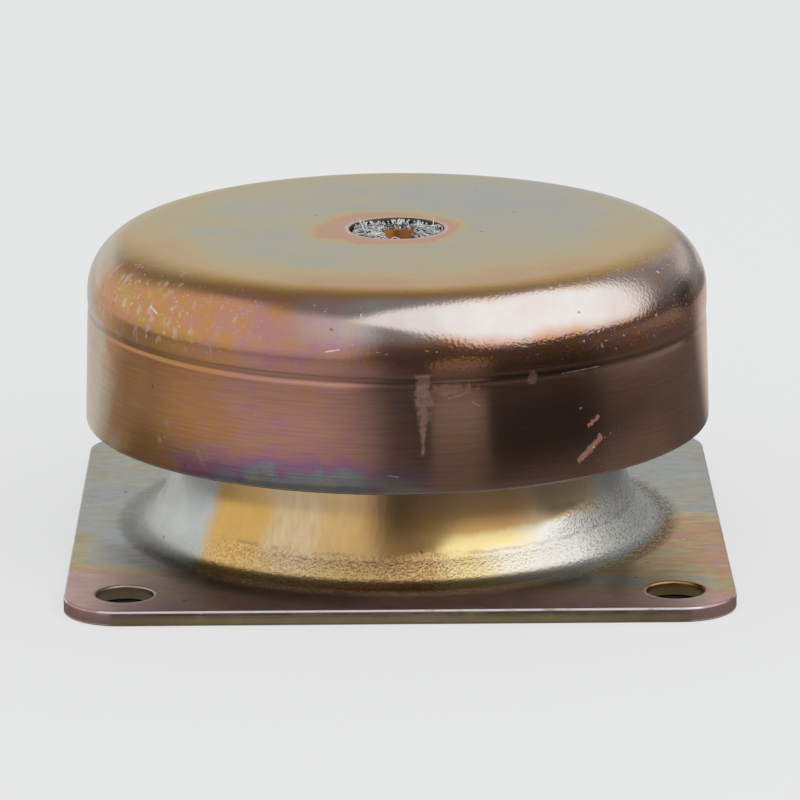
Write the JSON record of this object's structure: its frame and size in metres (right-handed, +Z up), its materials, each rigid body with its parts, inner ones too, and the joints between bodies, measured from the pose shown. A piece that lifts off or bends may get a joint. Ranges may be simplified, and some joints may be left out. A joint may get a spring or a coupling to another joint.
{
  "type": "cup anti-vibration mount",
  "caption": "All-metal cup mount: a drawn steel cup carried on knitted-wire rings over a domed square base with corner bolt holes and a threaded centre.",
  "frame": {"origin": "middle of the base plate's underside", "axes": "+Z up along the centre thread, X and Y along the plate's sides"},
  "size_m": [0.11, 0.11, 0.0532],
  "materials": {
    "plated_cup": "drawn steel, zinc plated and yellow passivated, with a patchy rainbow tint, scuffed",
    "plated_base": "drawn steel, zinc plated and yellow passivated, grainy where the sheet was stretched",
    "plated_turned": "turned or punched steel, zinc plated and yellow passivated",
    "knitted_wire": "bright crimped stainless wire, knitted and pressed"
  },
  "bodies": {
    "base_side": {"base": "plated_base", "upper_wire_ring": "knitted_wire", "lower_wire_ring": "knitted_wire"},
    "cup_side": {"cup": "plated_cup", "centre_bush": "plated_turned", "rebound_washer": "plated_turned"}
  },
  "joints": [
    {"name": "cup_travel", "type": "slide", "parent": "base_side", "child": "cup_side", "axis": [0, 0, 1], "range_m": [-0.006, 0.002], "stiffness_N_per_m": 40000, "deforming": ["upper_wire_ring", "lower_wire_ring"]}
  ]
}
